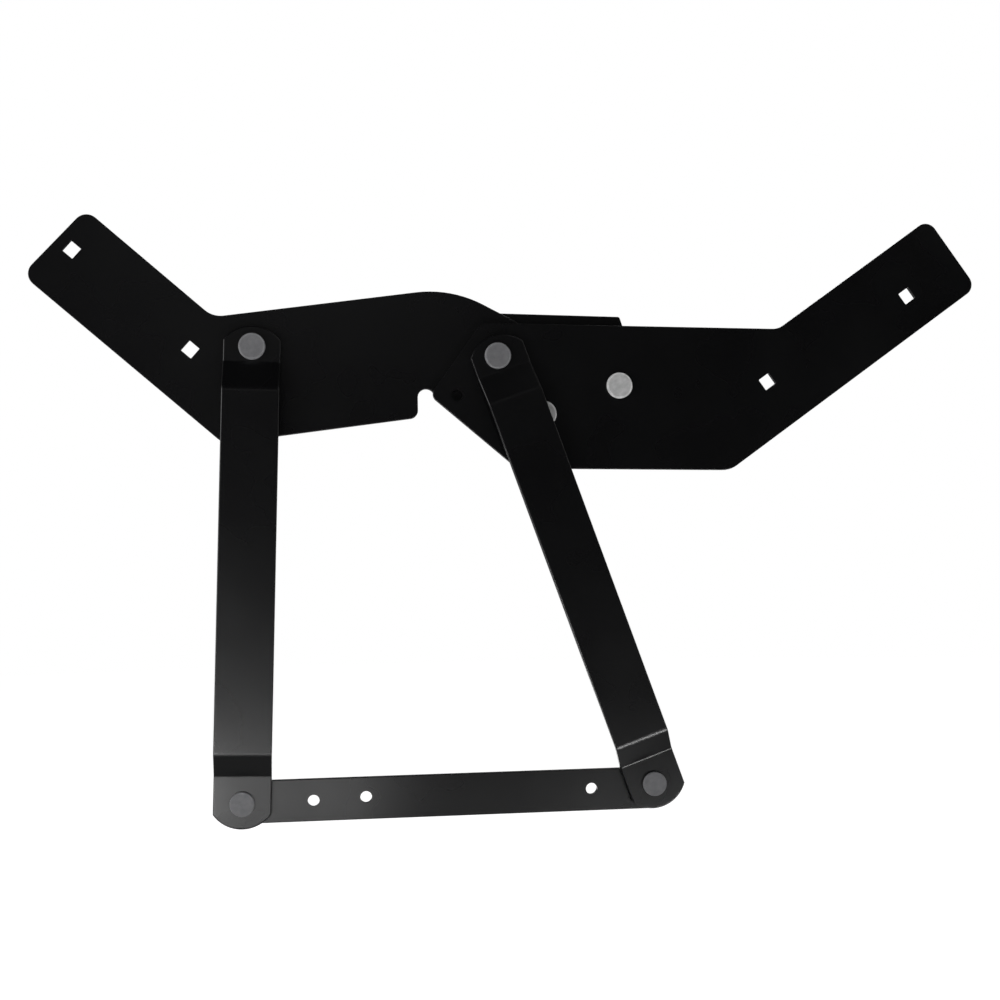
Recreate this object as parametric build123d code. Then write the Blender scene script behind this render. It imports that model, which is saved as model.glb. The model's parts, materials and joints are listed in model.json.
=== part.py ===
"""Sofa bed mechanism: a folding four-bar frame of pressed steel strips and plates, riveted together.

Millimetres. X runs along the base bar, Y runs away from the viewer and Z is up.
The origin is the middle of the base bar's two fixing holes, on the bar's rear face.
The pose is the one in which both plate arms point up.
"""
from build123d import *
from math import acos, atan2, cos, degrees, hypot, radians, sin, tan
import os

# How far a cutter reaches past what it cuts
overcut = 1.0

# Strips and plates
bar_width = 25.0
bar_thickness = 4.0
leg_width = 34.0
leg_thickness = 4.0
plate_thickness = 3.0
edge_round = 0.4

# Pivots and linkage
shank_diameter = 8.0
head_diameter = 16.0
foot_head_diameter = 14.5
head_thickness = 2.5
formed_head_diameter = 13.0
formed_head_thickness = 2.0
running_clearance = 0.06
washer_diameter = 18.0
washer_thickness = 0.8
wide_washer_diameter = 26.0
pivot_spacing = 248.0
pivot_rise = 3.1
left_leg_length = 271.3
right_leg_length = 277.5
seat_pivot_spacing = 147.6
left_leg_lean = 1.8
right_leg_side_step = 0.9

# Base bar holes
fixing_hole_diameter = 7.0
fixing_hole_spacing = 137.0
fixing_hole_rise = 0.7
left_pivot_to_hole = 73.0
spare_hole_inset = 41.8
spare_hole_drop = 0.4

# Leg ends and joggles
foot_joggle_start = 17.8
foot_joggle_end = 30.0
top_joggle_start = 10.0
top_joggle_end = 27.0
leg_stand_off = 13.8
foot_overhang = 15.0
top_overhang = 12.5
leg_end_sagitta = 8.6
joggle_inner_radius = 2.5
leg_edge_round = 0.8
blank_margin = 5.0

# Square holes for carriage bolts
square_hole_size = 8.0
square_hole_corner = 0.5

# Left boomerang plate: offsets are square to each edge, from the main pivot or the left leg's pivot
seat_body_angle = 7.2
seat_body_top = 46.1
seat_body_bottom = 30.2
seat_shoulder_angle = -27.6
seat_shoulder_offset = 25.8
seat_dome_radius = 70.0
eye_radius = 27.0
seat_arm_angle = -41.0
seat_arm_drop = 1.1
seat_arm_width = 54.0
seat_arm_end = 128.9
seat_tip_skew = 2.0
seat_tip_radius = 8.0
seat_inner_radius = 14.0
seat_heel_radius = 10.0
seat_slot_travel = 8.2
seat_slot_rise = 1.6
seat_hole_inset = 23.7
seat_hole_from_tip = 10.8
seat_hole_pitch = 91.0
notch_orbit = 49.5
notch_angle = 209.2
notch_clearance = 0.1
notch_lip_radius = 5.0
notch_tooth_length = 4.0
notch_tooth_radius = 2.0
hook_root_reach = 41.5
hook_root_angle = 228.0
hook_root_radius = 8.0

# Right boomerang plate: offsets and places are taken from the main pivot
back_body_angle = -1.0
back_body_top = 20.7
back_body_width = 88.8
back_arm_angle = 35.1
back_arm_drop = 88.0
back_arm_width = 53.2
back_arm_end = 278.3
back_tip_radius = 7.5
back_inner_radius = 12.0
back_corner_radius = 15.0
back_nose = (-41.1, -23.4)
back_nose_upper_angle = 54.2
back_nose_lower_angle = -40.5
back_nose_radius = 5.0
back_top_corner_radius = 3.0
back_heel_radius = 8.0
back_round_hole = (-24.8, -23.3)
back_round_hole_diameter = 7.0
back_tip_hole = (262.5, 38.8)
back_root_hole = (170.0, -15.6)
back_hole_angle = 35.1

# Rear plate and what joins it to the right plate
upper_rivet = (75.7, -17.9)
lower_rivet = (28.1, -35.1)
rear_corner = (77.3, 24.7)
rear_corner_radius = 1.5
rear_eye_radius = 28.2
upper_boss_radius = 16.0
stop_boss_radius = 10.0
spacer_diameter = 12.0
stop_pin_diameter = 10.0
stop_head_diameter = 12.0
tilt_range = 68.0


def polar(radius, angle):
    """A point at a radius and an angle in degrees."""
    return (radius * cos(radians(angle)), radius * sin(radians(angle)))


def add(point, step):
    """One point moved by another."""
    return (point[0] + step[0], point[1] + step[1])


def beside(point, angle, offset):
    """A line through the point at this angle, moved to its left by the offset."""
    return (add(point, polar(offset, angle + 90)), angle)


def meet(first, second):
    """Where two lines cross."""
    (ax, az), angle_a = first
    (bx, bz), angle_b = second
    ux, uz = polar(1, angle_a)
    vx, vz = polar(1, angle_b)
    along = ((bx - ax) * vz - (bz - az) * vx) / (ux * vz - uz * vx)
    return (ax + along * ux, az + along * uz)


def through(first, second):
    """A line through two points."""
    return (first, degrees(atan2(second[1] - first[1], second[0] - first[0])))


def circles_meet(first, first_radius, second, second_radius):
    """The crossing of two circles that lies to the left of the way from the first to the second."""
    dx, dz = second[0] - first[0], second[1] - first[1]
    distance = hypot(dx, dz)
    turn = degrees(acos((first_radius**2 + distance**2 - second_radius**2) / (2 * first_radius * distance)))
    return add(first, polar(first_radius, degrees(atan2(dz, dx)) + turn))


def rounded_wire(corners):
    """A closed outline through (x, z, radius) corners, with an arc at each one."""
    count = len(corners)
    spans = []
    for i in range(count):
        x, z, radius = corners[i]
        before, after = corners[i - 1], corners[(i + 1) % count]
        back = atan2(before[1] - z, before[0] - x)
        ahead = atan2(after[1] - z, after[0] - x)
        opening = abs((ahead - back + 3 * radians(180)) % (2 * radians(180)) - radians(180))
        reach = radius / tan(opening / 2)
        middle = atan2(sin(back) + sin(ahead), cos(back) + cos(ahead))
        sag = radius / sin(opening / 2) - radius
        spans.append((
            (x + reach * cos(back), z + reach * sin(back)),
            (x + sag * cos(middle), z + sag * sin(middle)),
            (x + reach * cos(ahead), z + reach * sin(ahead)),
        ))
    edges = []
    for i in range(count):
        start, crest, end = spans[i]
        edges.append(Line(spans[i - 1][2], start))
        edges.append(ThreePointArc(start, crest, end))
    return Wire(edges)


def outline_of(sides):
    """A closed outline from (line, radius) pairs: each radius rounds the corner with the next line."""
    following = sides[1:] + sides[:1]
    return rounded_wire([(*meet(line, after), radius) for (line, radius), (after, _) in zip(sides, following)])


def slab(face, y_front, thickness):
    """A flat outline drawn in X and Z, made solid from its front face backwards."""
    upright = Plane(origin=(0, y_front, 0), x_dir=(1, 0, 0), z_dir=(0, -1, 0))
    return extrude(upright * face, amount=-thickness)


def plate(wire, y_front, thickness=plate_thickness):
    """A plate with its front and rear edges eased."""
    body = slab(make_face(wire), y_front, thickness)
    rims = body.faces().sort_by(Axis.Y)
    return fillet(rims[0].outer_wire().edges() + rims[-1].outer_wire().edges(), edge_round)


def pin(point, y_front, y_rear, diameter):
    """A round pin along Y."""
    disc = Plane(origin=(point[0], y_front, point[1]), x_dir=(1, 0, 0), z_dir=(0, -1, 0)) * Circle(diameter / 2)
    return extrude(disc, amount=-(y_rear - y_front))


def square_cut(point, angle, y_front):
    """The cutter of a square hole that is turned with its arm."""
    outline = RectangleRounded(square_hole_size, square_hole_size, square_hole_corner)
    return slab(Pos(*point) * Rot(0, 0, angle) * outline, y_front - overcut, plate_thickness + 2 * overcut)


def ring(point, y_front, y_rear, outer, inner):
    """A washer or spacer along Y."""
    return pin(point, y_front, y_rear, outer) - pin(point, y_front - overcut, y_rear + overcut, inner)


def rivet(point, y_front, y_rear, front_diameter=head_diameter, rear_head=True):
    """A shank with a flat front head and a smaller formed rear head."""
    body = pin(point, y_front, y_rear, shank_diameter)
    head = pin(point, y_front - head_thickness, y_front, front_diameter)
    body += fillet(head.edges().group_by(Axis.Y)[0], edge_round)
    if rear_head:
        formed = pin(point, y_rear, y_rear + formed_head_thickness, formed_head_diameter)
        body += fillet(formed.edges().group_by(Axis.Y)[-1], edge_round)
    return body


# Layers from the wall forwards, as the Y of each piece's front and rear face
bar_front = -bar_thickness
foot_rear = bar_front - washer_thickness
foot_front = foot_rear - leg_thickness
seat_rear = bar_front + plate_thickness
seat_front = bar_front
rear_plate_front = seat_rear + washer_thickness
rear_plate_rear = rear_plate_front + plate_thickness
back_rear = seat_front - washer_thickness
back_front = back_rear - plate_thickness
leg_top_rear = back_front - washer_thickness
leg_top_front = leg_top_rear - leg_thickness
leg_middle_rear = -leg_stand_off
leg_middle_front = leg_middle_rear - leg_thickness

# Pivots
left_foot = (-fixing_hole_spacing / 2 - left_pivot_to_hole, -fixing_hole_rise)
right_foot = add(left_foot, (pivot_spacing, pivot_rise))
left_top = add(left_foot, polar(left_leg_length, 90 - left_leg_lean))
main_pivot = circles_meet(left_top, seat_pivot_spacing, right_foot, right_leg_length)
hole_diameter = shank_diameter + 2 * running_clearance
stop_offset = polar(notch_orbit, notch_angle + tilt_range)


def on_back(offset):
    """A point of the right plate, from its place beside the main pivot."""
    return add(main_pivot, offset)


def make_base_bar():
    """The flat bar with round ends, three fixing holes and a hole for each foot rivet."""
    length = pivot_spacing + bar_width
    middle = add(left_foot, (pivot_spacing / 2, 0))
    outline = Pos(*middle) * SlotOverall(length, bar_width)
    body = slab(outline, bar_front, bar_thickness)
    rims = body.faces().sort_by(Axis.Y)
    body = fillet(rims[0].edges() + rims[-1].edges(), edge_round)
    holes = [(-fixing_hole_spacing / 2, 0), (fixing_hole_spacing / 2, 0)]
    holes.append(add(left_foot, (spare_hole_inset, -spare_hole_drop)))
    for hole in holes:
        body -= pin(hole, bar_front - overcut, overcut, fixing_hole_diameter)
    for pivot in (left_foot, right_foot):
        body -= pin(pivot, bar_front - overcut, overcut, shank_diameter)
    return body


def strip_profile(length, top_rear):
    """The side of a joggled strip: Y against the distance along it."""
    levels = [(-foot_overhang - blank_margin, foot_rear), (foot_joggle_start, foot_rear)]
    levels += [(foot_joggle_end, leg_middle_rear), (length - top_joggle_end, leg_middle_rear)]
    levels += [(length - top_joggle_start, top_rear), (length + top_overhang + blank_margin, top_rear)]
    foot_ramp = atan2(foot_rear - leg_middle_rear, foot_joggle_end - foot_joggle_start)
    top_ramp = atan2(top_rear - leg_middle_rear, top_joggle_end - top_joggle_start)
    foot_shift = leg_thickness * tan(foot_ramp / 2)
    top_shift = leg_thickness * tan(top_ramp / 2)
    shifts = [0, -foot_shift, -foot_shift, top_shift, top_shift, 0]
    inner, outer = joggle_inner_radius, joggle_inner_radius + leg_thickness
    rear_radii = [edge_round, outer, inner, inner, outer, edge_round]
    front_radii = [edge_round, inner, outer, outer, inner, edge_round]
    rear = [(s, y, r) for (s, y), r in zip(levels, rear_radii)]
    front = [(s + d, y - leg_thickness, r) for (s, y), d, r in zip(levels, shifts, front_radii)]
    return rounded_wire(rear + front[::-1])


def strip_outline(length):
    """The front view of a strip: straight sides and shallow round ends."""
    half = leg_width / 2
    low, high = -foot_overhang, length + top_overhang
    sides = [Line((half, low + leg_end_sagitta), (half, high - leg_end_sagitta))]
    sides.append(ThreePointArc((half, high - leg_end_sagitta), (0, high), (-half, high - leg_end_sagitta)))
    sides.append(Line((-half, high - leg_end_sagitta), (-half, low + leg_end_sagitta)))
    sides.append(ThreePointArc((-half, low + leg_end_sagitta), (0, low), (half, low + leg_end_sagitta)))
    return Wire(sides)


def make_leg(foot, top, top_rear, side_step=0):
    """A joggled strip from a foot pivot to a top pivot, which may run a little to one side of both."""
    length = hypot(top[0] - foot[0], top[1] - foot[1])
    lean = degrees(atan2(top[0] - foot[0], top[1] - foot[1]))
    side = Plane(origin=(0, 0, 0), x_dir=(0, 0, 1), z_dir=(-1, 0, 0))
    strip = extrude(side * make_face(strip_profile(length, top_rear)), amount=leg_width, both=True)
    outline = Pos(side_step, 0) * make_face(strip_outline(length))
    strip = strip & slab(outline, leg_middle_front - overcut, 2 * overcut - leg_middle_front)
    cut_faces = strip.faces().filter_by(lambda face: abs(face.normal_at().Y) < 0.01)
    across = [edge for edge in cut_faces.edges() if edge.geom_type == GeomType.LINE and abs(edge.tangent_at(0.5).Y) > 0.99]
    strip = fillet(cut_faces.edges() - across, leg_edge_round)
    for height in (0, length):
        strip -= pin((0, height), leg_middle_front - overcut, overcut, hole_diameter)
    return Pos(foot[0], 0, foot[1]) * Rot(0, lean, 0) * strip


def make_seat_plate():
    """The left boomerang plate: arm, body, domed eye, hook notch and the left leg's long hole."""
    body_top = beside(main_pivot, seat_body_angle, seat_body_top)
    shoulder = beside(main_pivot, seat_shoulder_angle, seat_shoulder_offset)
    notch = add(main_pivot, polar(notch_orbit, notch_angle))
    notch_radius = stop_pin_diameter / 2 + notch_clearance
    inner_wall = beside(notch, notch_angle - 90, -notch_radius)
    tooth = add(inner_wall[0], polar(notch_tooth_length, notch_angle + 90))
    hook_root = add(main_pivot, polar(hook_root_reach, hook_root_angle))
    under_hook = through(hook_root, tooth)
    under_angle = hook_root_angle + degrees(acos(eye_radius / hook_root_reach)) + 90
    under_eye = beside(main_pivot, under_angle, -eye_radius)
    outer_wall = beside(notch, 90, notch_radius)
    body_bottom = beside(main_pivot, seat_body_angle, -seat_body_bottom)
    arm_bottom = beside(left_top, seat_arm_angle, -seat_arm_drop - seat_arm_width)
    arm_top = beside(left_top, seat_arm_angle, -seat_arm_drop)
    arm_middle = beside(left_top, seat_arm_angle, -seat_arm_drop - seat_arm_width / 2)[0]
    tip = (add(arm_middle, polar(-seat_arm_end, seat_arm_angle)), seat_arm_angle + 90 - seat_tip_skew)
    sides = [
        (body_top, seat_dome_radius),
        (shoulder, eye_radius),
        (under_eye, hook_root_radius),
        (under_hook, notch_tooth_radius),
        (inner_wall, notch_radius),
        (outer_wall, notch_lip_radius),
        (body_bottom, seat_heel_radius),
        (arm_bottom, seat_tip_radius),
        (tip, seat_tip_radius),
        (arm_top, seat_inner_radius),
    ]
    body = plate(outline_of(sides), seat_front)
    body -= pin(main_pivot, seat_front - overcut, seat_rear + overcut, hole_diameter)
    slot = SlotOverall(hole_diameter + 2 * seat_slot_travel, hole_diameter + 2 * seat_slot_rise)
    body -= slab(Pos(*left_top) * slot, seat_front - overcut, plate_thickness + 2 * overcut)
    hole_line = beside(left_top, seat_arm_angle, -seat_arm_drop - seat_hole_inset)[0]
    for distance in (seat_hole_from_tip, seat_hole_from_tip + seat_hole_pitch):
        place = add(hole_line, polar(distance - seat_arm_end, seat_arm_angle))
        body -= square_cut(place, seat_arm_angle, seat_front)
    return body


def make_back_plate():
    """The right boomerang plate, in front of the left one."""
    body_bottom = beside(main_pivot, back_body_angle, back_body_top - back_body_width)
    arm_middle = beside(main_pivot, back_arm_angle, -back_arm_drop - back_arm_width / 2)[0]
    sides = [
        (beside(main_pivot, back_body_angle, back_body_top), back_inner_radius),
        (beside(main_pivot, back_arm_angle, -back_arm_drop), back_tip_radius),
        ((add(arm_middle, polar(back_arm_end, back_arm_angle)), back_arm_angle - 90), back_tip_radius),
        (beside(main_pivot, back_arm_angle, -back_arm_drop - back_arm_width), back_corner_radius),
        (body_bottom, back_heel_radius),
        ((on_back(back_nose), back_nose_lower_angle), back_nose_radius),
        ((on_back(back_nose), back_nose_upper_angle), back_top_corner_radius),
    ]
    body = plate(outline_of(sides), back_front)
    for place in ((0, 0), upper_rivet, lower_rivet, stop_offset):
        body -= pin(on_back(place), back_front - overcut, back_rear + overcut, hole_diameter)
    body -= pin(on_back(back_round_hole), back_front - overcut, back_rear + overcut, back_round_hole_diameter)
    for place in (back_tip_hole, back_root_hole):
        body -= square_cut(on_back(place), back_hole_angle, back_front)
    return body


def make_rear_plate():
    """The plate behind both boomerangs, which carries the other end of the spacers."""
    bosses = [
        ((0, 0), rear_eye_radius),
        (rear_corner, rear_corner_radius),
        (upper_rivet, upper_boss_radius),
        (stop_offset, stop_boss_radius),
    ]
    rims = [(Pos(*on_back(place)) * Circle(radius)).edges() for place, radius in bosses]
    wire = make_hull([edge for rim in rims for edge in rim]).wire()
    body = plate(wire, rear_plate_front)
    for place in ((0, 0), upper_rivet, lower_rivet, stop_offset):
        body -= pin(on_back(place), rear_plate_front - overcut, rear_plate_rear + overcut, hole_diameter)
    return body


def make_stop_pin():
    """The shouldered pin that the hook notch closes on, flush with the right plate's front."""
    place = on_back(stop_offset)
    body = pin(place, back_front, rear_plate_rear, shank_diameter)
    body += pin(place, back_rear, rear_plate_front, stop_pin_diameter)
    return body + pin(place, rear_plate_rear, rear_plate_rear + formed_head_thickness, stop_head_diameter)


def make_washer(place, y_front, diameter=washer_diameter):
    """A thin washer on a rivet."""
    return ring(place, y_front, y_front + washer_thickness, diameter, hole_diameter)


def make_spacer(place):
    """The bush that keeps the right plate and the rear plate apart."""
    return ring(on_back(place), back_rear, rear_plate_front, spacer_diameter, hole_diameter)


def make_parts():
    """Every piece of the mechanism under its own name."""
    backing_rear = rear_plate_rear + washer_thickness
    return {
        "base_bar": make_base_bar(),
        "left_leg": make_leg(left_foot, left_top, foot_rear),
        "right_leg": make_leg(right_foot, main_pivot, leg_top_rear, right_leg_side_step),
        "seat_plate": make_seat_plate(),
        "back_plate": make_back_plate(),
        "rear_plate": make_rear_plate(),
        "left_foot_rivet": rivet(left_foot, foot_front, 0, foot_head_diameter, rear_head=False),
        "right_foot_rivet": rivet(right_foot, foot_front, 0, foot_head_diameter, rear_head=False),
        "left_top_rivet": rivet(left_top, foot_front, seat_rear + washer_thickness),
        "main_pivot_rivet": rivet(main_pivot, leg_top_front, backing_rear),
        "upper_plate_rivet": rivet(on_back(upper_rivet), back_front, rear_plate_rear),
        "lower_plate_rivet": rivet(on_back(lower_rivet), back_front, rear_plate_rear),
        "stop_pin": make_stop_pin(),
        "upper_spacer": make_spacer(upper_rivet),
        "lower_spacer": make_spacer(lower_rivet),
        "left_foot_washer": make_washer(left_foot, foot_rear),
        "right_foot_washer": make_washer(right_foot, foot_rear),
        "left_top_washer": make_washer(left_top, foot_rear),
        "left_top_backing_washer": make_washer(left_top, seat_rear, wide_washer_diameter),
        "leg_washer": make_washer(main_pivot, leg_top_rear),
        "front_eye_washer": make_washer(main_pivot, back_rear),
        "rear_eye_washer": make_washer(main_pivot, seat_rear),
        "main_pivot_backing_washer": make_washer(main_pivot, rear_plate_rear),
    }


os.makedirs("parts", exist_ok=True)
for name, solid in make_parts().items():
    export_step(solid, f"parts/{name}.step")
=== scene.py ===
"""Dresses the sofa bed mechanism: its black powder coat, its turned rivets and washers, and a pale studio."""

import json
import math

import bmesh
import bpy
from bpy.props import FloatProperty, FloatVectorProperty, PointerProperty
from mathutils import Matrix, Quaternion, Vector


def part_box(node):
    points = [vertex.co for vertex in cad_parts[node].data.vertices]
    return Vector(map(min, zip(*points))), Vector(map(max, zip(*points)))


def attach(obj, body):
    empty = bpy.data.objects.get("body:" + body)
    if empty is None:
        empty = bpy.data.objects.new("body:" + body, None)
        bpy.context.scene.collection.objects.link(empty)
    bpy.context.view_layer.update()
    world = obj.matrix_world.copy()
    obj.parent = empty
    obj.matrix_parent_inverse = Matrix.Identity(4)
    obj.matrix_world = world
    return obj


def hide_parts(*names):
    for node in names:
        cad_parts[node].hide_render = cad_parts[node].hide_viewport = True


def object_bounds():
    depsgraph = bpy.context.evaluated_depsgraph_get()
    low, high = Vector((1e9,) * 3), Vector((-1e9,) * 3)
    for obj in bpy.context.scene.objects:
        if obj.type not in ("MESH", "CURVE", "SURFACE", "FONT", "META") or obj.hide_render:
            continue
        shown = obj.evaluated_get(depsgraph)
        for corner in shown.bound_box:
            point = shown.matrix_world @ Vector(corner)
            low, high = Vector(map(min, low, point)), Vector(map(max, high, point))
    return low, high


bl_info = {
    "name": "Sofa Bed Mechanism",
    "version": (1, 0, 0),
    "blender": (4, 5, 0),
    "location": "View3D > Sidebar > Mechanism",
    "description": "Coats the strips and plates, turns the rivets and sets the stage",
    "category": "Object",
}

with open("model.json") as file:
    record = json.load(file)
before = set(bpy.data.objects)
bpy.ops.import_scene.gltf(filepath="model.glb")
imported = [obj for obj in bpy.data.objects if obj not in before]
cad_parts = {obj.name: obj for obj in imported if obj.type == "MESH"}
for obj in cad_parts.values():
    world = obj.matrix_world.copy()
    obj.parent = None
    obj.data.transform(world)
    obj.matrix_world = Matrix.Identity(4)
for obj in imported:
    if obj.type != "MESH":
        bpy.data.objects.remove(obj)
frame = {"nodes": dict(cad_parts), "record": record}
cad_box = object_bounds()

MM = 0.001

# The nodes, grouped by how they are dressed
COATED_NODES = ("base_bar", "left_leg", "right_leg", "seat_plate", "back_plate", "rear_plate")
PIVOT_RIVETS = ("left_top_rivet", "main_pivot_rivet")
PLATE_RIVETS = ("upper_plate_rivet", "lower_plate_rivet")
FOOT_RIVETS = ("left_foot_rivet", "right_foot_rivet")
WASHERS = (
    "left_foot_washer",
    "right_foot_washer",
    "left_top_washer",
    "left_top_backing_washer",
    "leg_washer",
    "front_eye_washer",
    "rear_eye_washer",
    "main_pivot_backing_washer",
)
SPACERS = ("upper_spacer", "lower_spacer")

# Ranges of the noises and of the values that follow them
SATIN_NOISE = (0.3, 0.7)
WEAR_NOISE = (0.35, 0.7)
WEAR_SHARE = (0.5, 1.0)
BLOTCH_NOISE = (0.3, 0.7)
BLOTCH_SHADE = (0.85, 1.05)
CRYSTAL_SHADE = (0.82, 1.0)

# The coat's reflection, and how squarely a surface faces the front on a flat and on a cut edge
COAT_REFLECTION = 0.4
FLAT_FACING = 0.97
EDGE_FACING = 0.55

# Turning marks and blotches of the rivets' steel
MARK_WAVINESS = 0.4
MARK_STRENGTH = 0.6
MARK_DEPTH = 0.01 * MM
MARK_ROUGHNESS_SPREAD = 0.05
BLOTCH_WIDTH = 3 * MM

# Crystals and grain of the zinc plate
CRYSTAL_ROUGHNESS_SPREAD = 0.08
GRAIN_WIDTH = 0.8 * MM
GRAIN_STRENGTH = 0.4
GRAIN_DEPTH = 0.01 * MM

# The sockets of a colour mix, which are numbered because their names repeat
MIX_FIRST = 6
MIX_SECOND = 7
MIX_RESULT = 2

# How round pieces are spun, eased and shaded
TURNED_UV = "turned"
ROUND_STEPS = 96
MERGE_DISTANCE = 0.0001 * MM
RIM_ANGLE = math.radians(40)
RIM_SEGMENTS = 3
FLAT_NORMAL = 0.999

# The dish in a pressed head, from the axis out: share of the head's radius, and depth
DISH = ((0, 0.12 * MM), (0.45, 0.08 * MM), (0.82, 0), (1, 0))

# A formed head, from the rim in: share of its radius, and share of its thickness under its top
FORMED_HEAD = ((1, 1), (1, 0.6), (0.86, 0.22), (0.55, 0), (0.22, 0), (0.1, 0.15), (0, 0.2))

# The studio's white, its floor and its camera
WHITE = "#FFFFFF"
FLOOR_COLOUR = "#8C8C8C"
FLOOR_ROUGHNESS = 0.9
FLOOR_REFLECTION = 0.1
SENSOR_WIDTH = 36
CLIP_START = 0.01
CLIP_END = 50

# Points that most lights face
MIDDLE = (0.03, 0, 0.17)
LOW_MIDDLE = (0.03, 0, 0.12)

# Each light's name, place, aim, width, height and power
STUDIO_LIGHTS = (
    # In front: the rivets' grey and an even tone on the plates
    ("high_right_light", (0.9, -1.3, 1.5), MIDDLE, 1.0, 1.0, 3.5),
    ("side_left_light", (-1.6, -0.9, 0.5), MIDDLE, 1.2, 1.2, 16.0),
    ("front_card", (-0.12, -1.5, 0.70), MIDDLE, 0.6, 0.3, 0.18),
    # Low in front: the glow on the bar, the legs' lower ends and their bends
    ("left_floor_card", (-0.30, -0.45, -0.012), (-0.30, -0.45, 1), 0.5, 0.5, 0.8),
    ("left_deep_card", (-0.30, -0.45, -0.07), (-0.30, -0.45, 1), 0.5, 0.5, 0.9),
    ("left_low_card", (-0.28, -0.35, -0.052), (-0.28, 0, -0.052), 0.16, 0.044, 0.56),
    ("middle_low_card", (-0.10, -0.35, -0.052), (-0.10, 0, -0.052), 0.10, 0.044, 0.065),
    ("right_low_card", (0.06, -0.35, -0.052), (0.06, 0, -0.052), 0.20, 0.044, 0.012),
    ("right_floor_card", (0.15, -0.10, -0.30), (0.15, -0.10, 1), 0.25, 0.25, 0.09),
    ("bend_card", (0.305, -0.53, -0.255), (0.11, 0, 0.03), 0.25, 0.055, 1.45),
    # At the front corners: a sheen for slanting views
    ("front_left_card", (-0.75, -1.0, -0.06), LOW_MIDDLE, 1.1, 0.4, 0.9),
    ("front_right_card", (0.95, -0.85, -0.06), LOW_MIDDLE, 0.9, 0.4, 1.0),
    # Behind: grey and sheen for the views from there
    ("rear_right_light", (0.9, 1.3, 1.2), MIDDLE, 1.0, 1.0, 10.0),
    ("rear_left_light", (-0.9, 1.3, 1.2), MIDDLE, 1.0, 1.0, 10.0),
    ("rear_high_card", (0.1, 1.5, 0.75), MIDDLE, 1.2, 0.4, 1.2),
    ("rear_low_card", (0.05, 0.45, -0.07), (0.05, 0.45, 1), 0.9, 0.5, 3.0),
    ("rear_right_card", (0.9, 0.9, -0.06), LOW_MIDDLE, 1.1, 0.4, 2.0),
    ("rear_left_card", (-0.9, 0.9, -0.06), LOW_MIDDLE, 1.1, 0.4, 2.0),
    # At the sides: the cut edges
    ("right_edge_light", (1.9, 0.1, 0.6), MIDDLE, 1.0, 1.0, 8.0),
    ("left_edge_light", (-1.9, 0.1, 0.6), MIDDLE, 1.0, 1.0, 8.0),
)


def linear(hex_colour):
    """An sRGB hex colour as linear red, green, blue and alpha."""
    channels = [int(hex_colour[start:start + 2], 16) / 255 for start in (1, 3, 5)]
    return (*[c / 12.92 if c <= 0.04045 else ((c + 0.055) / 1.055) ** 2.4 for c in channels], 1.0)


class CoatSettings(bpy.types.PropertyGroup):
    """Black powder coat."""

    colour: FloatVectorProperty(
        name="Colour", description="Linear colour of the coat on the flats", subtype="COLOR",
        size=4, min=0, max=1, default=linear("#050506"),
    )
    edge_colour: FloatVectorProperty(
        name="Edge colour", description="Linear colour where the coat thins over a cut edge",
        subtype="COLOR", size=4, min=0, max=1, default=linear("#0D0D0E"),
    )
    roughness: FloatProperty(
        name="Roughness", description="Satin of the coat", subtype="FACTOR", min=0, max=1, default=0.28,
    )
    roughness_spread: FloatProperty(
        name="Roughness spread", description="How much the satin varies", subtype="FACTOR",
        min=0, max=1, default=0.02,
    )
    ripple: FloatProperty(
        name="Ripple", description="Width of one ripple of the orange peel", unit="LENGTH",
        default=1.6 * MM,
    )
    ripple_height: FloatProperty(
        name="Ripple height", description="Height of the orange peel", unit="LENGTH", default=0.012 * MM,
    )
    patch: FloatProperty(
        name="Patch", description="Width of one duller patch", unit="LENGTH", default=45 * MM,
    )


class MetalSettings(bpy.types.PropertyGroup):
    """Bare rivet steel and zinc plate."""

    pivot_colour: FloatVectorProperty(
        name="Pivot colour", description="Linear colour of the dull rivets that the legs turn on",
        subtype="COLOR", size=4, min=0, max=1, default=linear("#8A8A8C"),
    )
    # Painted shade: the pivot rivets' steel made darker, so the low lights' glow on the foot rivets is toned
    # down
    foot_shaded_colour: FloatVectorProperty(
        name="Foot colour", description="Linear colour of the rivets at the bar's ends",
        subtype="COLOR", size=4, min=0, max=1, default=linear("#828284"),
    )
    plate_rivet_colour: FloatVectorProperty(
        name="Plate rivet colour", description="Linear colour of the brighter rivets through the plates",
        subtype="COLOR", size=4, min=0, max=1, default=linear("#CECECE"),
    )
    rivet_roughness: FloatProperty(
        name="Rivet roughness", description="Dullness of the turned faces", subtype="FACTOR",
        min=0, max=1, default=0.85,
    )
    # Painted highlight: how much brighter the rim of each head is painted, and where that ring starts and
    # blends in
    painted_rim_highlight: FloatProperty(
        name="Painted rim highlight", description="How much brighter the setting tool leaves a head's rim", default=1.25,
    )
    painted_rim_highlight_start: FloatProperty(
        name="Burnish start", description="Distance from the axis where the bright rim starts",
        unit="LENGTH", default=6.8 * MM,
    )
    painted_rim_highlight_blend: FloatProperty(
        name="Burnish blend", description="Width over which the rim turns bright", unit="LENGTH",
        default=0.2 * MM,
    )
    turning_pitch: FloatProperty(
        name="Turning pitch", description="Distance between two turning marks", unit="LENGTH",
        default=0.6 * MM,
    )
    zinc_colour: FloatVectorProperty(
        name="Zinc colour", description="Linear colour of the zinc plate", subtype="COLOR",
        size=4, min=0, max=1, default=linear("#BFC1C4"),
    )
    zinc_roughness: FloatProperty(
        name="Zinc roughness", description="Dullness of the zinc plate", subtype="FACTOR",
        min=0, max=1, default=0.38,
    )
    spangle: FloatProperty(
        name="Spangle", description="Width of one zinc crystal", unit="LENGTH", default=2.5 * MM,
    )


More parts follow.
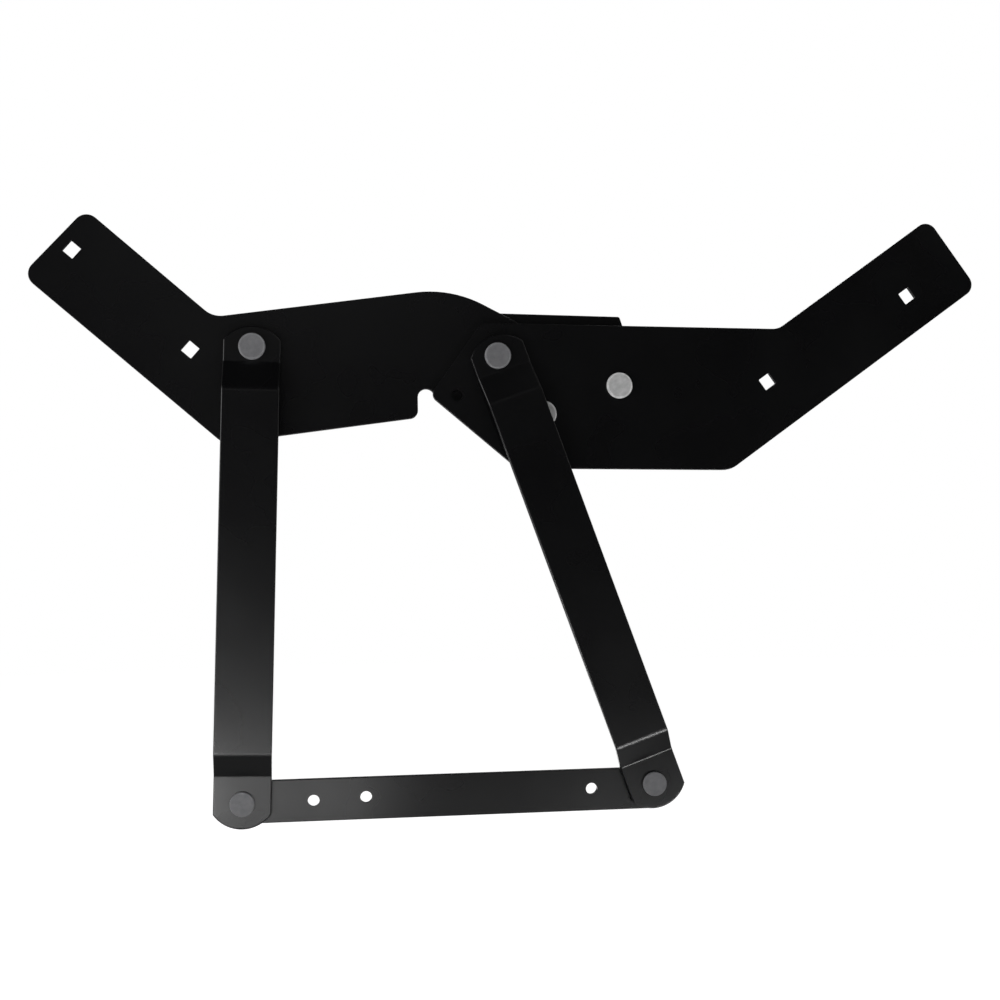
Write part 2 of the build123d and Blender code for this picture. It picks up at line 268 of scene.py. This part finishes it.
class RivetSettings(bpy.types.PropertyGroup):
    """Sizes of the turned pieces that their boxes don't give."""

    shank_radius: FloatProperty(
        name="Shank radius", description="Radius of every shank", unit="LENGTH", default=4 * MM,
    )
    head_thickness: FloatProperty(
        name="Head thickness", description="Thickness of a front head", unit="LENGTH", default=2.5 * MM,
    )
    formed_radius: FloatProperty(
        name="Formed radius", description="Radius of a head formed at the rear", unit="LENGTH",
        default=6.5 * MM,
    )
    formed_thickness: FloatProperty(
        name="Formed thickness", description="Thickness of a formed head", unit="LENGTH", default=2 * MM,
    )
    collar_radius: FloatProperty(
        name="Collar radius", description="Radius of the stop pin between its plates", unit="LENGTH",
        default=5 * MM,
    )
    rim: FloatProperty(
        name="Rim", description="Rounding of a head's rim", unit="LENGTH", default=0.6 * MM,
    )
    bore_radius: FloatProperty(
        name="Bore radius", description="Inner radius of washers and spacers", unit="LENGTH",
        default=4.06 * MM,
    )
    washer_edge: FloatProperty(
        name="Washer edge", description="Rounding of a washer's edges", unit="LENGTH", default=0.15 * MM,
    )
    running_play: FloatProperty(
        name="Running play", description="Gap that lets a washer slide on its neighbour", unit="LENGTH",
        default=0.02 * MM,
    )


class StudioSettings(bpy.types.PropertyGroup):
    """Camera, floor and room."""

    azimuth: FloatProperty(
        name="Azimuth", description="Camera's turn about the object", subtype="ANGLE",
        default=math.radians(-7),
    )
    elevation: FloatProperty(
        name="Elevation", description="Camera's height angle", subtype="ANGLE", default=math.radians(-2.5),
    )
    roll: FloatProperty(
        name="Roll", description="Camera's tilt to one side", subtype="ANGLE",
        default=math.radians(-1.035),
    )
    distance: FloatProperty(
        name="Distance", description="Camera to target", unit="LENGTH", default=0.9,
    )
    target: FloatVectorProperty(
        name="Target", description="Point at the centre of the picture", subtype="TRANSLATION",
        default=(15.9 * MM, 0, 177.08 * MM),
    )
    lens: FloatProperty(
        name="Lens", description="Focal length in millimetres", default=52.81,
    )
    floor_radius: FloatProperty(
        name="Floor radius", description="Radius of the pale floor", unit="LENGTH", default=6.0,
    )
    floor_drop: FloatProperty(
        name="Floor drop", description="How far the mechanism hangs over the floor", unit="LENGTH",
        default=300 * MM,
    )
    floor_glow: FloatProperty(
        name="Floor glow", description="Light that the floor gives to the picture alone", default=1.0,
    )
    room_light: FloatProperty(
        name="Room light", description="Brightness of the room that lights the object", default=0.01,
    )


def add_node(tree, kind, settings=None, inputs=None):
    """A node with its own settings, and a value or a link for each input named or numbered."""
    node = tree.nodes.new(kind)
    for name, value in (settings or {}).items():
        setattr(node, name, value)
    for name, value in (inputs or {}).items():
        if isinstance(value, bpy.types.NodeSocket):
            tree.links.new(value, node.inputs[name])
        else:
            node.inputs[name].default_value = value
    return node


def new_tree(name):
    """An empty material and its node tree."""
    material = bpy.data.materials.new(name)
    material.use_nodes = True
    material.node_tree.nodes.clear()
    return material, material.node_tree


def coat_material(settings):
    """Black polyester powder coat on pressed steel: near-black, satin, faintly rippled like orange peel.

    It thins to a slightly greyer one on the cut edges, more so in some patches than in others.
    """
    material, tree = new_tree("black_powder_coat")
    place = add_node(tree, "ShaderNodeTexCoord").outputs["Object"]
    facing = add_node(tree, "ShaderNodeNewGeometry").outputs["Normal"]
    sideways = add_node(tree, "ShaderNodeSeparateXYZ", inputs={"Vector": facing}).outputs["Y"]
    flatness = add_node(tree, "ShaderNodeMath", {"operation": "ABSOLUTE"}, {0: sideways}).outputs[0]
    edge = add_node(
        tree, "ShaderNodeMapRange", {"clamp": True},
        {"Value": flatness, "From Min": FLAT_FACING, "From Max": EDGE_FACING, "To Min": 0.0, "To Max": 1.0},
    ).outputs["Result"]
    patches = add_node(
        tree, "ShaderNodeTexNoise", inputs={"Vector": place, "Scale": 1 / settings.patch, "Detail": 2.0},
    ).outputs["Fac"]
    ripples = add_node(
        tree, "ShaderNodeTexNoise", inputs={"Vector": place, "Scale": 1 / settings.ripple, "Detail": 2.0},
    ).outputs["Fac"]
    worn = add_node(
        tree, "ShaderNodeMapRange", {"clamp": True},
        {
            "Value": patches, "From Min": WEAR_NOISE[0], "From Max": WEAR_NOISE[1],
            "To Min": WEAR_SHARE[0], "To Max": WEAR_SHARE[1],
        },
    ).outputs["Result"]
    worn_edge = add_node(tree, "ShaderNodeMath", {"operation": "MULTIPLY"}, {0: edge, 1: worn}).outputs[0]
    colour = add_node(
        tree, "ShaderNodeMix", {"data_type": "RGBA"},
        {"Factor": worn_edge, MIX_FIRST: settings.colour[:], MIX_SECOND: settings.edge_colour[:]},
    ).outputs[MIX_RESULT]
    roughness = add_node(
        tree, "ShaderNodeMapRange", {"clamp": True},
        {
            "Value": patches, "From Min": SATIN_NOISE[0], "From Max": SATIN_NOISE[1],
            "To Min": settings.roughness - settings.roughness_spread,
            "To Max": settings.roughness + settings.roughness_spread,
        },
    ).outputs["Result"]
    relief = add_node(
        tree, "ShaderNodeBump",
        inputs={"Strength": 1.0, "Distance": settings.ripple_height, "Height": ripples},
    ).outputs["Normal"]
    shader = add_node(
        tree, "ShaderNodeBsdfPrincipled",
        inputs={
            "Base Color": colour, "Roughness": roughness, "Normal": relief, "Metallic": 0.0,
            "Specular IOR Level": COAT_REFLECTION,
        },
    )
    add_node(tree, "ShaderNodeOutputMaterial", inputs={"Surface": shader.outputs[0]})
    return material


def rivet_material(name, tint, settings):
    """Mild steel turned on a lathe and barrel-polished: flat grey, dull, with fine rings round each axis.

    A brighter ring round the rim of each head is a painted highlight.
    """
    material, tree = new_tree(name)
    flat = add_node(tree, "ShaderNodeUVMap", {"uv_map": TURNED_UV}).outputs["UV"]
    place = add_node(tree, "ShaderNodeTexCoord").outputs["Object"]
    # A ring texture repeats after pi / (10 * scale), so this scale spaces the marks by the pitch
    rings = add_node(
        tree, "ShaderNodeTexWave", {"wave_type": "RINGS", "rings_direction": "SPHERICAL"},
        {
            "Vector": flat, "Scale": math.pi / (10 * settings.turning_pitch),
            "Distortion": MARK_WAVINESS, "Detail": 2.0,
        },
    ).outputs["Fac"]
    blotches = add_node(
        tree, "ShaderNodeTexNoise", inputs={"Vector": place, "Scale": 1 / BLOTCH_WIDTH, "Detail": 3.0},
    ).outputs["Fac"]
    shade = add_node(
        tree, "ShaderNodeMapRange",
        inputs={
            "Value": blotches, "From Min": BLOTCH_NOISE[0], "From Max": BLOTCH_NOISE[1],
            "To Min": BLOTCH_SHADE[0], "To Max": BLOTCH_SHADE[1],
        },
    ).outputs["Result"]
    from_axis = add_node(tree, "ShaderNodeVectorMath", {"operation": "LENGTH"}, {0: flat}).outputs["Value"]
    # Painted highlight: a brighter ring painted round each head's rim, multiplied into the blotches' shade
    rim = add_node(
        tree, "ShaderNodeMapRange", {"clamp": True},
        {
            "Value": from_axis, "From Min": settings.painted_rim_highlight_start,
            "From Max": settings.painted_rim_highlight_start + settings.painted_rim_highlight_blend,
            "To Min": 1.0, "To Max": settings.painted_rim_highlight,
        },
    ).outputs["Result"]
    blotch_and_rim_highlight_shade = add_node(tree, "ShaderNodeMath", {"operation": "MULTIPLY"}, {0: shade, 1: rim}).outputs[0]
    colour = add_node(
        tree, "ShaderNodeMix", {"data_type": "RGBA", "blend_type": "MULTIPLY"},
        {"Factor": 1.0, MIX_FIRST: tint[:], MIX_SECOND: blotch_and_rim_highlight_shade},
    ).outputs[MIX_RESULT]
    roughness = add_node(
        tree, "ShaderNodeMapRange",
        inputs={
            "Value": rings,
            "To Min": settings.rivet_roughness - MARK_ROUGHNESS_SPREAD,
            "To Max": settings.rivet_roughness + MARK_ROUGHNESS_SPREAD,
        },
    ).outputs["Result"]
    relief = add_node(
        tree, "ShaderNodeBump", inputs={"Strength": MARK_STRENGTH, "Distance": MARK_DEPTH, "Height": rings},
    ).outputs["Normal"]
    shader = add_node(
        tree, "ShaderNodeBsdfPrincipled",
        inputs={"Base Color": colour, "Roughness": roughness, "Normal": relief, "Metallic": 1.0},
    )
    add_node(tree, "ShaderNodeOutputMaterial", inputs={"Surface": shader.outputs[0]})
    return material


def zinc_material(settings):
    """Bright zinc plate on steel washers: pale blue-grey with crystals a few millimetres across."""
    material, tree = new_tree("zinc_plate")
    place = add_node(tree, "ShaderNodeTexCoord").outputs["Object"]
    crystals = add_node(
        tree, "ShaderNodeTexVoronoi", {"feature": "F1"}, {"Vector": place, "Scale": 1 / settings.spangle},
    ).outputs["Color"]
    tone = add_node(tree, "ShaderNodeRGBToBW", inputs={"Color": crystals}).outputs["Val"]
    shade = add_node(
        tree, "ShaderNodeMapRange",
        inputs={"Value": tone, "To Min": CRYSTAL_SHADE[0], "To Max": CRYSTAL_SHADE[1]},
    ).outputs["Result"]
    colour = add_node(
        tree, "ShaderNodeMix", {"data_type": "RGBA", "blend_type": "MULTIPLY"},
        {"Factor": 1.0, MIX_FIRST: settings.zinc_colour[:], MIX_SECOND: shade},
    ).outputs[MIX_RESULT]
    roughness = add_node(
        tree, "ShaderNodeMapRange",
        inputs={
            "Value": tone,
            "To Min": settings.zinc_roughness + CRYSTAL_ROUGHNESS_SPREAD,
            "To Max": settings.zinc_roughness - CRYSTAL_ROUGHNESS_SPREAD,
        },
    ).outputs["Result"]
    grain = add_node(
        tree, "ShaderNodeTexNoise", inputs={"Vector": place, "Scale": 1 / GRAIN_WIDTH, "Detail": 2.0},
    ).outputs["Fac"]
    relief = add_node(
        tree, "ShaderNodeBump", inputs={"Strength": GRAIN_STRENGTH, "Distance": GRAIN_DEPTH, "Height": grain},
    ).outputs["Normal"]
    shader = add_node(
        tree, "ShaderNodeBsdfPrincipled",
        inputs={"Base Color": colour, "Roughness": roughness, "Normal": relief, "Metallic": 1.0},
    )
    add_node(tree, "ShaderNodeOutputMaterial", inputs={"Surface": shader.outputs[0]})
    return material


def body_of_node(node):
    """The name of the body that a node belongs to."""
    for body, names in frame["record"]["behaviour"]["bodies"].items():
        if node in names:
            return body
    raise RuntimeError(f"{node} is on no body")


def turned_piece(node, profile, ease, material, closed=False):
    """Spins a profile of (radius, depth) points round a node's axis and puts it in the node's place."""
    low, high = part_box(node)
    mesh_edit = bmesh.new()
    points = [mesh_edit.verts.new((radius, depth, 0)) for radius, depth in profile]
    ends = points[1:] + points[:1] if closed else points[1:]
    edges = [mesh_edit.edges.new(pair) for pair in zip(points, ends)]
    bmesh.ops.spin(
        mesh_edit, geom=points + edges, cent=(0, 0, 0), axis=(0, 1, 0), angle=2 * math.pi,
        steps=ROUND_STEPS, use_merge=True,
    )
    bmesh.ops.remove_doubles(mesh_edit, verts=mesh_edit.verts, dist=MERGE_DISTANCE)
    bmesh.ops.recalc_face_normals(mesh_edit, faces=mesh_edit.faces)
    rims = [edge for edge in mesh_edit.edges if edge.is_manifold and edge.calc_face_angle() > RIM_ANGLE]
    bmesh.ops.bevel(
        mesh_edit, geom=rims, offset=ease, offset_type="OFFSET", segments=RIM_SEGMENTS, profile=0.5,
        affect="EDGES", material=-1,
    )
    layer = mesh_edit.loops.layers.uv.new(TURNED_UV)
    for face in mesh_edit.faces:
        face.smooth = abs(face.normal.y) < FLAT_NORMAL
        for loop in face.loops:
            loop[layer].uv = (loop.vert.co.x, loop.vert.co.z)
    middle = (low + high) / 2
    bmesh.ops.translate(mesh_edit, verts=mesh_edit.verts, vec=(middle.x, 0, middle.z))
    bmesh.ops.recalc_face_normals(mesh_edit, faces=mesh_edit.faces)
    mesh = bpy.data.meshes.new(f"turned_{node}")
    mesh_edit.to_mesh(mesh)
    mesh_edit.free()
    mesh.materials.append(material)
    piece = bpy.data.objects.new(f"turned_{node}", mesh)
    bpy.context.scene.collection.objects.link(piece)
    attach(piece, body_of_node(node))
    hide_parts(node)


def pressed_front(low, high, sizes):
    """A head with a shallow dish and the start of its shank, from the axis out and back in."""
    head_radius = (high.x - low.x) / 2
    head_rear = low.y + sizes.head_thickness
    dish = [(share * head_radius, low.y + depth) for share, depth in DISH]
    return dish + [(head_radius, head_rear), (sizes.shank_radius, head_rear)]


def formed_rear(rear, radius, thickness):
    """A rolled head with an upright rim, a low dome and a small dimple, from the rim in to the axis."""
    return [(share * radius, rear - drop * thickness) for share, drop in FORMED_HEAD]


def riveted_profile(node, sizes):
    """A rivet with a pressed head in front and a formed one at the rear."""
    low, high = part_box(node)
    shank_end = (sizes.shank_radius, high.y - sizes.formed_thickness)
    rear = formed_rear(high.y, sizes.formed_radius, sizes.formed_thickness)
    return pressed_front(low, high, sizes) + [shank_end] + rear


def flush_profile(node, sizes):
    """A rivet with a pressed head in front and a flat end at the rear."""
    low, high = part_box(node)
    return pressed_front(low, high, sizes) + [(sizes.shank_radius, high.y), (0, high.y)]


def stop_pin_profile(node, sizes):
    """A pin with a flat front end, a collar between the plates and a formed head at the rear."""
    low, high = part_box(node)
    collar_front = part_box("back_plate")[1].y
    collar_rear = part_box("rear_plate")[0].y
    pin = [
        (0, low.y),
        (sizes.shank_radius, low.y),
        (sizes.shank_radius, collar_front),
        (sizes.collar_radius, collar_front),
        (sizes.collar_radius, collar_rear),
        (sizes.shank_radius, collar_rear),
        (sizes.shank_radius, high.y - sizes.formed_thickness),
    ]
    return pin + formed_rear(high.y, (high.x - low.x) / 2, sizes.formed_thickness)


def washer_profile(node, sizes):
    """A flat ring with running play on both faces."""
    low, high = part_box(node)
    radius = (high.x - low.x) / 2
    front = low.y + sizes.running_play
    rear = high.y - sizes.running_play
    return [(sizes.bore_radius, front), (radius, front), (radius, rear), (sizes.bore_radius, rear)]


class MECHANISM_OT_coat_plates(bpy.types.Operator):
    """Gives the bar, the legs and the plates their black powder coat"""

    bl_idname = "mechanism.coat_plates"
    bl_label = "Coat Strips and Plates"

    def execute(self, context):
        material = coat_material(context.scene.mechanism_coat)
        for node in COATED_NODES:
            plate = frame["nodes"][node]
            plate.data.materials.clear()
            plate.data.materials.append(material)
        return {"FINISHED"}


class MECHANISM_OT_turn_rivets(bpy.types.Operator):
    """Makes the headed rivets, the two foot rivets and the stop pin"""

    bl_idname = "mechanism.turn_rivets"
    bl_label = "Turn Rivets"

    def execute(self, context):
        sizes = context.scene.mechanism_rivets
        metal = context.scene.mechanism_metal
        dull = rivet_material("dull_rivet_steel", metal.pivot_colour, metal)
        # The foot rivets get a darker copy of the same steel: painted shade
        foot = rivet_material("shaded_foot_rivet_steel", metal.foot_shaded_colour, metal)
        bright = rivet_material("bright_rivet_steel", metal.plate_rivet_colour, metal)
        for node in PIVOT_RIVETS:
            turned_piece(node, riveted_profile(node, sizes), sizes.rim, dull)
        for node in PLATE_RIVETS:
            turned_piece(node, riveted_profile(node, sizes), sizes.rim, bright)
        for node in FOOT_RIVETS:
            turned_piece(node, flush_profile(node, sizes), sizes.rim, foot)
        turned_piece("stop_pin", stop_pin_profile("stop_pin", sizes), sizes.rim, dull)
        return {"FINISHED"}


class MECHANISM_OT_plate_washers(bpy.types.Operator):
    """Makes the zinc-plated washers and spacers with eased edges"""

    bl_idname = "mechanism.plate_washers"
    bl_label = "Plate Washers"

    def execute(self, context):
        sizes = context.scene.mechanism_rivets
        material = zinc_material(context.scene.mechanism_metal)
        for node in WASHERS + SPACERS:
            profile = washer_profile(node, sizes)
            turned_piece(node, profile, sizes.washer_edge, material, closed=True)
        return {"FINISHED"}


def area_light(name, place, aim, width, height, power):
    """A soft light of this size that faces a point and isn't seen by the camera."""
    light = bpy.data.lights.new(name, "AREA")
    light.shape = "RECTANGLE"
    light.size = width
    light.size_y = height
    light.energy = power
    lamp = bpy.data.objects.new(name, light)
    bpy.context.scene.collection.objects.link(lamp)
    lamp.location = place
    lamp.rotation_mode = "QUATERNION"
    lamp.rotation_quaternion = (Vector(aim) - Vector(place)).to_track_quat("-Z", "Y")
    lamp.visible_camera = False


class MECHANISM_OT_set_studio(bpy.types.Operator):
    """Sets the pale floor, the soft lights, the room and the camera"""

    bl_idname = "mechanism.set_studio"
    bl_label = "Set Studio"

    def execute(self, context):
        settings = context.scene.mechanism_studio
        scene = context.scene
        scene.view_settings.view_transform = "Standard"
        self.lay_floor(settings)
        self.light_room(scene, settings)
        self.place_camera(scene, settings)
        return {"FINISHED"}

    def lay_floor(self, settings):
        """A round pale floor well under the mechanism, which reads as white in the picture."""
        mesh_edit = bmesh.new()
        bmesh.ops.create_circle(
            mesh_edit, cap_ends=True, segments=ROUND_STEPS, radius=settings.floor_radius,
        )
        height = cad_box[0].z - settings.floor_drop
        bmesh.ops.translate(mesh_edit, verts=mesh_edit.verts, vec=(0, 0, height))
        bmesh.ops.recalc_face_normals(mesh_edit, faces=mesh_edit.faces)
        mesh = bpy.data.meshes.new("studio_floor")
        mesh_edit.to_mesh(mesh)
        mesh_edit.free()
        material, tree = new_tree("white_floor")
        ray = add_node(tree, "ShaderNodeLightPath").outputs["Is Camera Ray"]
        glow = add_node(tree, "ShaderNodeMath", {"operation": "MULTIPLY"}, {0: ray, 1: settings.floor_glow})
        shader = add_node(
            tree, "ShaderNodeBsdfPrincipled",
            inputs={
                "Base Color": linear(FLOOR_COLOUR), "Roughness": FLOOR_ROUGHNESS,
                "Specular IOR Level": FLOOR_REFLECTION,
                "Emission Color": linear(WHITE), "Emission Strength": glow.outputs[0],
            },
        )
        add_node(tree, "ShaderNodeOutputMaterial", inputs={"Surface": shader.outputs[0]})
        mesh.materials.append(material)
        floor = bpy.data.objects.new("studio_floor", mesh)
        bpy.context.scene.collection.objects.link(floor)

    def light_room(self, scene, settings):
        """A white background to look at, a dim room to light by, and the soft lights."""
        world = bpy.data.worlds.new("studio_room")
        scene.world = world
        world.use_nodes = True
        tree = world.node_tree
        tree.nodes.clear()
        seen = add_node(tree, "ShaderNodeBackground", inputs={"Color": linear(WHITE), "Strength": 1.0})
        lit = add_node(
            tree, "ShaderNodeBackground", inputs={"Color": linear(WHITE), "Strength": settings.room_light},
        )
        ray = add_node(tree, "ShaderNodeLightPath").outputs["Is Camera Ray"]
        both = add_node(
            tree, "ShaderNodeMixShader", inputs={0: ray, 1: lit.outputs[0], 2: seen.outputs[0]},
        ).outputs[0]
        add_node(tree, "ShaderNodeOutputWorld", inputs={"Surface": both})
        for light in STUDIO_LIGHTS:
            area_light(*light)

    def place_camera(self, scene, settings):
        """The camera at the photographed angle."""
        turn, rise = settings.azimuth, settings.elevation
        back = Vector((math.sin(turn) * math.cos(rise), -math.cos(turn) * math.cos(rise), math.sin(rise)))
        data = bpy.data.cameras.new("studio_camera")
        data.lens = settings.lens
        data.sensor_width = SENSOR_WIDTH
        data.clip_start = CLIP_START
        data.clip_end = CLIP_END
        camera = bpy.data.objects.new("studio_camera", data)
        scene.collection.objects.link(camera)
        camera.location = Vector(settings.target) + back * settings.distance
        camera.rotation_mode = "QUATERNION"
        level = (-back).to_track_quat("-Z", "Y")
        camera.rotation_quaternion = level @ Quaternion((0, 0, 1), settings.roll)
        scene.camera = camera


class MECHANISM_PT_panel(bpy.types.Panel):
    """The mechanism's operators in the sidebar of the 3D view"""

    bl_idname = "MECHANISM_PT_panel"
    bl_label = "Sofa Bed Mechanism"
    bl_space_type = "VIEW_3D"
    bl_region_type = "UI"
    bl_category = "Mechanism"

    def draw(self, context):
        for operator in OPERATORS:
            self.layout.operator(operator.bl_idname)


SETTINGS = {
    "mechanism_coat": CoatSettings,
    "mechanism_metal": MetalSettings,
    "mechanism_rivets": RivetSettings,
    "mechanism_studio": StudioSettings,
}
OPERATORS = (
    MECHANISM_OT_coat_plates,
    MECHANISM_OT_turn_rivets,
    MECHANISM_OT_plate_washers,
    MECHANISM_OT_set_studio,
)


def register():
    """Registers the settings, the operators and the panel."""
    for name, group in SETTINGS.items():
        bpy.utils.register_class(group)
        setattr(bpy.types.Scene, name, PointerProperty(type=group))
    for operator in OPERATORS:
        bpy.utils.register_class(operator)
    bpy.utils.register_class(MECHANISM_PT_panel)


def unregister():
    """Takes back what register added."""
    bpy.utils.unregister_class(MECHANISM_PT_panel)
    for operator in reversed(OPERATORS):
        bpy.utils.unregister_class(operator)
    for name, group in SETTINGS.items():
        delattr(bpy.types.Scene, name)
        bpy.utils.unregister_class(group)


def main():
    """Runs every operator in order."""
    register()
    bpy.ops.mechanism.set_studio()
    bpy.ops.mechanism.coat_plates()
    bpy.ops.mechanism.turn_rivets()
    bpy.ops.mechanism.plate_washers()


if __name__ == "__main__":
    main()
